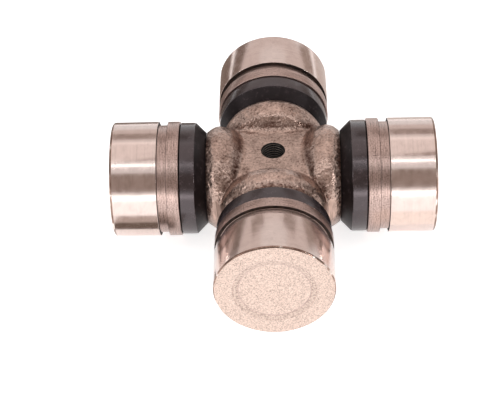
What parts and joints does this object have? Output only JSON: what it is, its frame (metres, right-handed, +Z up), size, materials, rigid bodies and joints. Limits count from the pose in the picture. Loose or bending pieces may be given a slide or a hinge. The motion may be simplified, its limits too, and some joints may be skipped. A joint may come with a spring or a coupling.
{
  "type": "universal joint cross",
  "caption": "Forged universal joint cross; its trunnions turn in needle bearing cups with rubber seals and outside retaining grooves, and a threaded grease hole opens in the web.",
  "frame": {"origin": "where the axes of the trunnions cross, in the middle of the part", "axes": "+Z up through the grease hole; +X along one trunnion axis to the right cup; -Y along the other to the front cup"},
  "size_m": [0.106, 0.106, 0.038],
  "materials": {
    "forged_steel": "shot-blasted forging with ground trunnions",
    "ground_steel": "ground",
    "bearing_steel": "polished",
    "seal_rubber": "satin",
    "washer_plastic": "matt natural nylon"
  },
  "bodies": {
    "cross": {"cross": "forged_steel"},
    "right_washer": {"thrust_washer_right": "washer_plastic"},
    "right_cup": {"cup_right": "ground_steel", "seal_right": "seal_rubber", "needle_retainer_right": "bearing_steel"},
    "right_needles": {"needles_right": "bearing_steel"},
    "back_washer": {"thrust_washer_back": "washer_plastic"},
    "back_cup": {"cup_back": "ground_steel", "seal_back": "seal_rubber", "needle_retainer_back": "bearing_steel"},
    "back_needles": {"needles_back": "bearing_steel"},
    "left_washer": {"thrust_washer_left": "washer_plastic"},
    "left_cup": {"cup_left": "ground_steel", "seal_left": "seal_rubber", "needle_retainer_left": "bearing_steel"},
    "left_needles": {"needles_left": "bearing_steel"},
    "front_washer": {"thrust_washer_front": "washer_plastic"},
    "front_cup": {"cup_front": "ground_steel", "seal_front": "seal_rubber", "needle_retainer_front": "bearing_steel"},
    "front_needles": {"needles_front": "bearing_steel"}
  },
  "joints": [
    {"name": "right_cup_pull", "type": "slide", "parent": "cross", "child": "right_washer", "axis": [1, 0, 0], "range_m": [0, 0.03]},
    {"name": "right_cup_turn", "type": "hinge", "parent": "right_washer", "child": "right_cup", "pos_m": [0.042, 0, 0], "axis": [1, 0, 0], "continuous": true},
    {"name": "right_needle_orbit", "type": "hinge", "parent": "right_washer", "child": "right_needles", "pos_m": [0.042, 0, 0], "axis": [1, 0, 0], "continuous": true},
    {"name": "back_cup_pull", "type": "slide", "parent": "cross", "child": "back_washer", "axis": [0, 1, 0], "range_m": [0, 0.03]},
    {"name": "back_cup_turn", "type": "hinge", "parent": "back_washer", "child": "back_cup", "pos_m": [0, 0.042, 0], "axis": [0, 1, 0], "continuous": true},
    {"name": "back_needle_orbit", "type": "hinge", "parent": "back_washer", "child": "back_needles", "pos_m": [0, 0.042, 0], "axis": [0, 1, 0], "continuous": true},
    {"name": "left_cup_pull", "type": "slide", "parent": "cross", "child": "left_washer", "axis": [-1, 0, 0], "range_m": [0, 0.03]},
    {"name": "left_cup_turn", "type": "hinge", "parent": "left_washer", "child": "left_cup", "pos_m": [-0.042, 0, 0], "axis": [-1, 0, 0], "continuous": true},
    {"name": "left_needle_orbit", "type": "hinge", "parent": "left_washer", "child": "left_needles", "pos_m": [-0.042, 0, 0], "axis": [-1, 0, 0], "continuous": true},
    {"name": "front_cup_pull", "type": "slide", "parent": "cross", "child": "front_washer", "axis": [0, -1, 0], "range_m": [0, 0.03]},
    {"name": "front_cup_turn", "type": "hinge", "parent": "front_washer", "child": "front_cup", "pos_m": [0, -0.042, 0], "axis": [0, -1, 0], "continuous": true},
    {"name": "front_needle_orbit", "type": "hinge", "parent": "front_washer", "child": "front_needles", "pos_m": [0, -0.042, 0], "axis": [0, -1, 0], "continuous": true}
  ],
  "couplings": [
    {"joint": "right_needle_orbit", "follows": "right_cup_turn", "ratio": 0.5545},
    {"joint": "back_needle_orbit", "follows": "back_cup_turn", "ratio": 0.5545},
    {"joint": "left_needle_orbit", "follows": "left_cup_turn", "ratio": 0.5545},
    {"joint": "front_needle_orbit", "follows": "front_cup_turn", "ratio": 0.5545}
  ]
}
